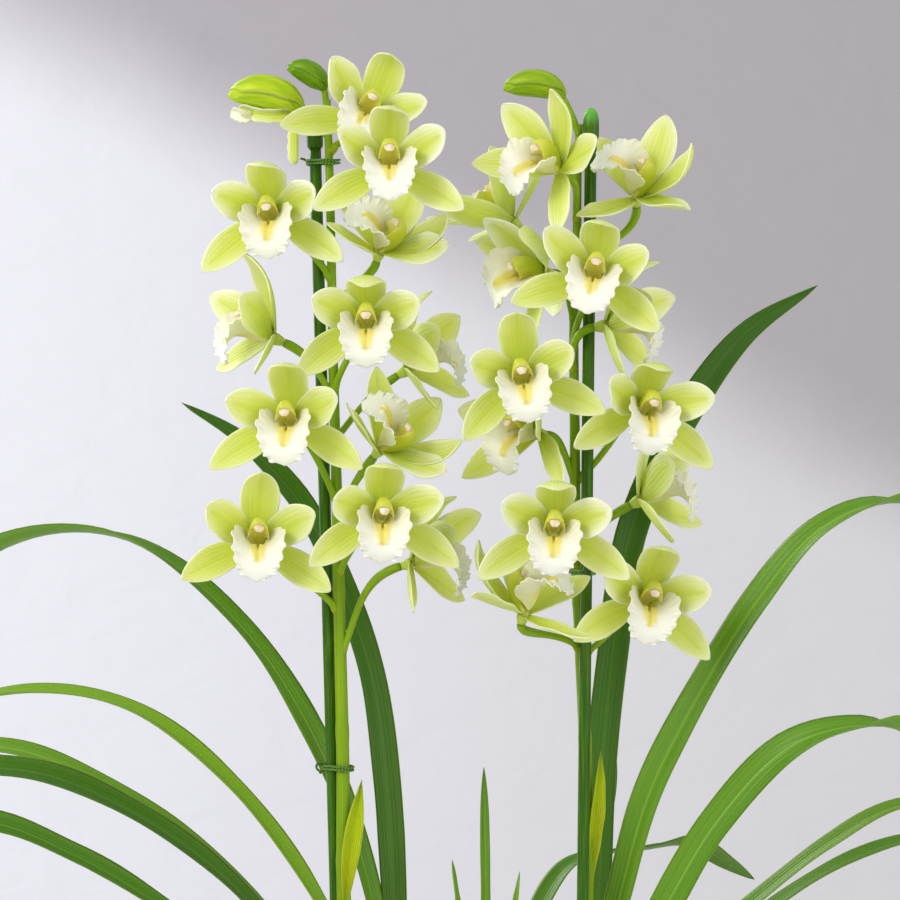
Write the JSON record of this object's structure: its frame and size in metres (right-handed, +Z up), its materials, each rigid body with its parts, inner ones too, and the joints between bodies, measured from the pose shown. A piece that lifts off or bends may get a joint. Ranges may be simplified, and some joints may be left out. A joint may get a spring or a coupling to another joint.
{
  "type": "potted orchid",
  "caption": "Potted orchid with staked upright spikes of yellow-green flowers with white frilled lips, arching strap leaves, bark potting medium and a plain tapered round pot.",
  "frame": {"origin": "centre of the pot's underside, on the surface it stands on", "axes": "+Z up, -Y towards the side the plant is seen from, +X to the viewer's right"},
  "size_m": [0.643, 0.192, 0.662],
  "materials": {
    "petal": "soft satin petal, pale yellow-green with whitish rims",
    "lip": "soft creamy white with a yellow ridge",
    "stem": "smooth fresh green stem",
    "leaf": "satin green leaf with fine lengthwise veins",
    "stake": "dark green coated, slightly glossy",
    "tie": "soft green coated wire",
    "pot": "plain smooth matt pale stoneware",
    "bark": "rough brown orchid bark"
  },
  "bodies": {
    "root": {"bloom_left_01": "petal", "bloom_left_02": "petal", "bloom_left_03": "petal", "bloom_left_04": "petal", "bloom_left_05": "petal", "bloom_left_06": "petal", "bloom_left_07": "petal", "bloom_left_08": "petal", "bloom_left_09": "petal", "bloom_left_10": "petal", "bloom_left_11": "petal", "bloom_left_12": "petal", "bloom_right_01": "petal", "bloom_right_02": "petal", "bloom_right_03": "petal", "bloom_right_04": "petal", "bloom_right_05": "petal", "bloom_right_06": "petal", "bloom_right_07": "petal", "bloom_right_08": "petal", "bloom_right_09": "petal", "bloom_right_10": "petal", "bloom_right_11": "petal", "bloom_right_12": "petal", "bloom_right_13": "petal", "lip_left_01": "lip", "lip_left_02": "lip", "lip_left_03": "lip", "lip_left_04": "lip", "lip_left_05": "lip", "lip_left_06": "lip", "lip_left_07": "lip", "lip_left_08": "lip", "lip_left_09": "lip", "lip_left_10": "lip", "lip_left_11": "lip", "lip_left_12": "lip", "lip_right_01": "lip", "lip_right_02": "lip", "lip_right_03": "lip", "lip_right_04": "lip", "lip_right_05": "lip", "lip_right_06": "lip", "lip_right_07": "lip", "lip_right_09": "lip", "lip_right_10": "lip", "lip_right_12": "lip", "lip_right_13": "lip", "pot": "pot", "potting_bark": "bark", "shoot_left": "leaf", "shoot_right": "leaf", "shoot_young": "leaf", "spike_left": "stem", "spike_right": "stem", "stake_left": "stake", "stake_right": "stake", "tie_left_high": "tie", "tie_left_low": "tie", "tie_right": "tie"}
  },
  "joints": []
}
